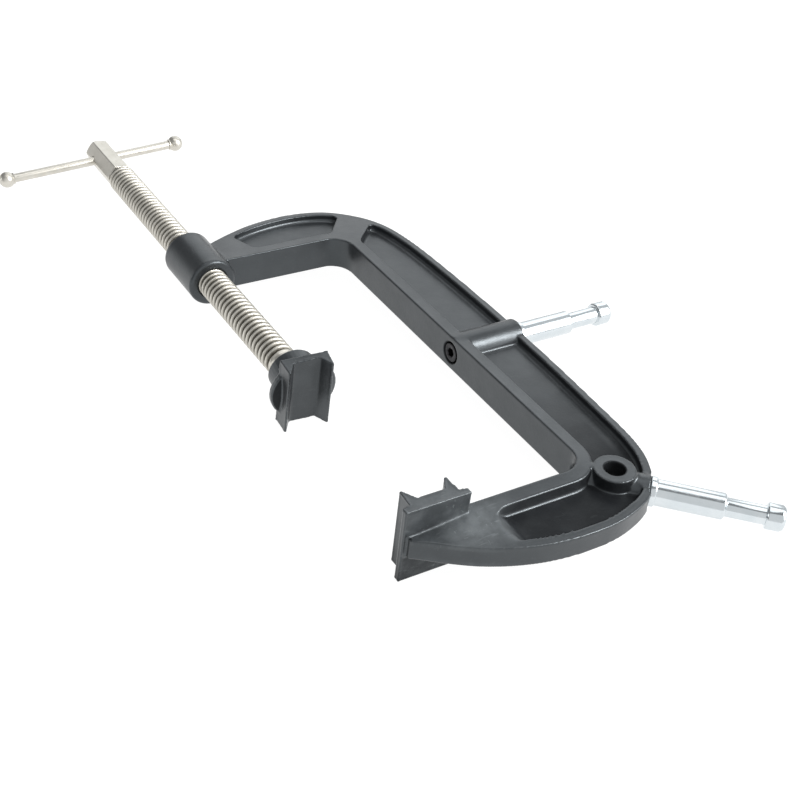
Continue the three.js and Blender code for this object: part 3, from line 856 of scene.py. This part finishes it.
# ---- floor, light and camera ----
def build_floor():
    reach = 6.0
    z = cad_low.z - 0.2 * MM
    corners = [(-reach, -reach, z), (reach, -reach, z), (reach, reach, z), (-reach, reach, z)]
    floor = new_object("floor", mesh_from("floor", corners, [(0, 1, 2, 3)]))
    m = Material("floor_white", Roughness=0.9, Specular_IOR_Level=0.1)
    m.set("Base Color", m.ramp(m.noise(3, 2), [(0, (0.14, 0.14, 0.14)), (1, (0.16, 0.16, 0.16))]))
    m.shader.inputs["Emission Color"].default_value = (1, 1, 1, 1)
    distance = m.add("ShaderNodeVectorMath", operation="DISTANCE")
    centre = (cad_low + cad_high) / 2
    distance.inputs[1].default_value = (centre.x, centre.y, z)
    m.link(m.coordinates, distance.inputs[0])
    m.set("Emission Strength", m.mapped(distance.outputs["Value"], 0.95, 1.7, 0.96, 0.7))
    floor.data.materials.append(m.material)


def softbox(name, azimuth, elevation, distance, width, height, radiance, colour=(1, 1, 1)):
    """A flat panel that faces the object's centre; angles in degrees, azimuth from X towards Y."""
    centre = (cad_low + cad_high) / 2
    a, e = math.radians(azimuth), math.radians(elevation)
    away = Vector((math.cos(e) * math.cos(a), math.cos(e) * math.sin(a), math.sin(e)))
    light = bpy.data.lights.new(name, "AREA")
    light.shape = "RECTANGLE"
    light.size, light.size_y = width, height
    light.energy = math.pi * width * height * radiance
    light.color = colour
    ob = bpy.data.objects.new(name, light)
    ob.location = centre + away * distance
    ob.rotation_mode = "QUATERNION"
    ob.rotation_quaternion = away.to_track_quat("Z", "Y")
    bpy.context.scene.collection.objects.link(ob)


def build_lights():
    world = bpy.data.worlds.new("studio")
    bpy.context.scene.world = world
    world.use_nodes = True
    background = world.node_tree.nodes["Background"]
    background.inputs["Color"].default_value = (0.97, 0.985, 1.0, 1)
    background.inputs["Strength"].default_value = 0.3
    # a panel does not hide the studio behind it, so each adds to the 0.3
    softbox("overhead", 30, 84, 1.7, 1.3, 1.3, 1.4)
    softbox("backdrop", 58, 30, 2.0, 2.1, 1.6, 1.08, (0.97, 0.99, 1.0))
    softbox("key", -45, 30, 2.0, 1.5, 2.0, 2.2)
    softbox("key core", -46, 37, 1.9, 0.75, 0.65, 17)
    softbox("left", 150, 9, 2.0, 0.6, 0.55, 2.2)
    softbox("side", 118, 3, 2.0, 1.1, 0.5, 0.55)
    softbox("right", 5, 28, 2.2, 2.9, 2.5, 0.42, (0.96, 0.985, 1.0))
    softbox("front", -105, 28, 2.3, 4.6, 2.5, 0.55)


def build_camera():
    camera = bpy.data.cameras.new("camera")
    camera.lens = 58.18
    camera.sensor_width = 36
    ob = bpy.data.objects.new("camera", camera)
    right = Vector((0.852122, -0.514805, 0.094144)).normalized()
    forward = Vector((0.466445, 0.665519, -0.582678)).normalized()
    up = right.cross(forward).normalized()
    turn = Matrix((right, up, -forward)).transposed().to_4x4()
    ob.matrix_world = Matrix.Translation((-0.323733, -0.422919, 0.464546)) @ turn
    bpy.context.scene.collection.objects.link(ob)
    bpy.context.scene.camera = ob


build_floor()
build_lights()
build_camera()
bpy.context.scene.view_settings.view_transform = "Standard"
